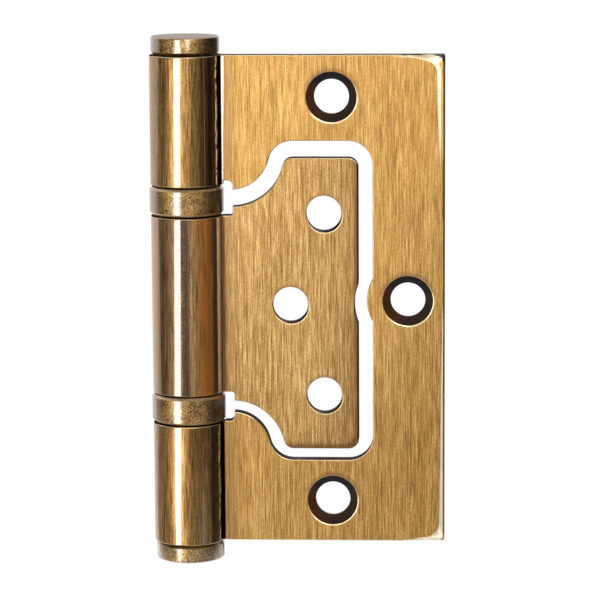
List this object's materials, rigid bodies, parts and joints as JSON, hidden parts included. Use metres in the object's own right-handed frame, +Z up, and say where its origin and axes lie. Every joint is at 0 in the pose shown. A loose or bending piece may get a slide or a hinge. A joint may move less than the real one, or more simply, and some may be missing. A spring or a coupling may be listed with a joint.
{
  "type": "non-mortise hinge",
  "caption": "Non-mortise door hinge with nested leaves, rolled knuckles, ball bearing rings and flat caps, shown closed.",
  "frame": {"origin": "halfway between the upper and lower screw holes of the outer leaf, on its back, which lies on the jamb", "axes": "+Z up along the barrel, +Y out of the outer leaf's back into the jamb, +X along the leaves away from the barrel"},
  "size_m": [0.0599, 0.015, 0.1076],
  "materials": {
    "leaf_brass": "steel plated in antique brass, brushed along the barrel and lacquered",
    "cap_brass": "steel plated in antique brass, tumbled and mottled",
    "race_steel": "ground and greased",
    "ball_steel": "polished",
    "cage_brass": "stamped"
  },
  "bodies": {
    "jamb_side": {"outer_leaf": "leaf_brass", "hinge_pin": "cap_brass", "bottom_cap": "cap_brass", "upper_bearing_shell": "cap_brass", "upper_fixed_race": "race_steel", "lower_bearing_shell": "cap_brass", "lower_fixed_race": "race_steel"},
    "door_side": {"inner_leaf": "leaf_brass", "upper_turning_race": "race_steel", "lower_turning_race": "race_steel"},
    "upper_ball_ring": {"upper_ball_cage": "cage_brass", "upper_balls": "ball_steel"},
    "lower_ball_ring": {"lower_ball_cage": "cage_brass", "lower_balls": "ball_steel"}
  },
  "joints": [
    {"name": "leaf_swing", "type": "hinge", "parent": "jamb_side", "child": "door_side", "pos_m": [-0.0295, -0.0015, 0], "axis": [0, 0, -1], "range_deg": [-180, 180]},
    {"name": "upper_balls_roll", "type": "hinge", "parent": "jamb_side", "child": "upper_ball_ring", "pos_m": [-0.0295, -0.0015, 0], "axis": [0, 0, -1], "range_deg": [-90, 90]},
    {"name": "lower_balls_roll", "type": "hinge", "parent": "jamb_side", "child": "lower_ball_ring", "pos_m": [-0.0295, -0.0015, 0], "axis": [0, 0, -1], "range_deg": [-90, 90]}
  ],
  "couplings": [
    {"joint": "upper_balls_roll", "follows": "leaf_swing", "ratio": 0.5},
    {"joint": "lower_balls_roll", "follows": "leaf_swing", "ratio": 0.5}
  ]
}
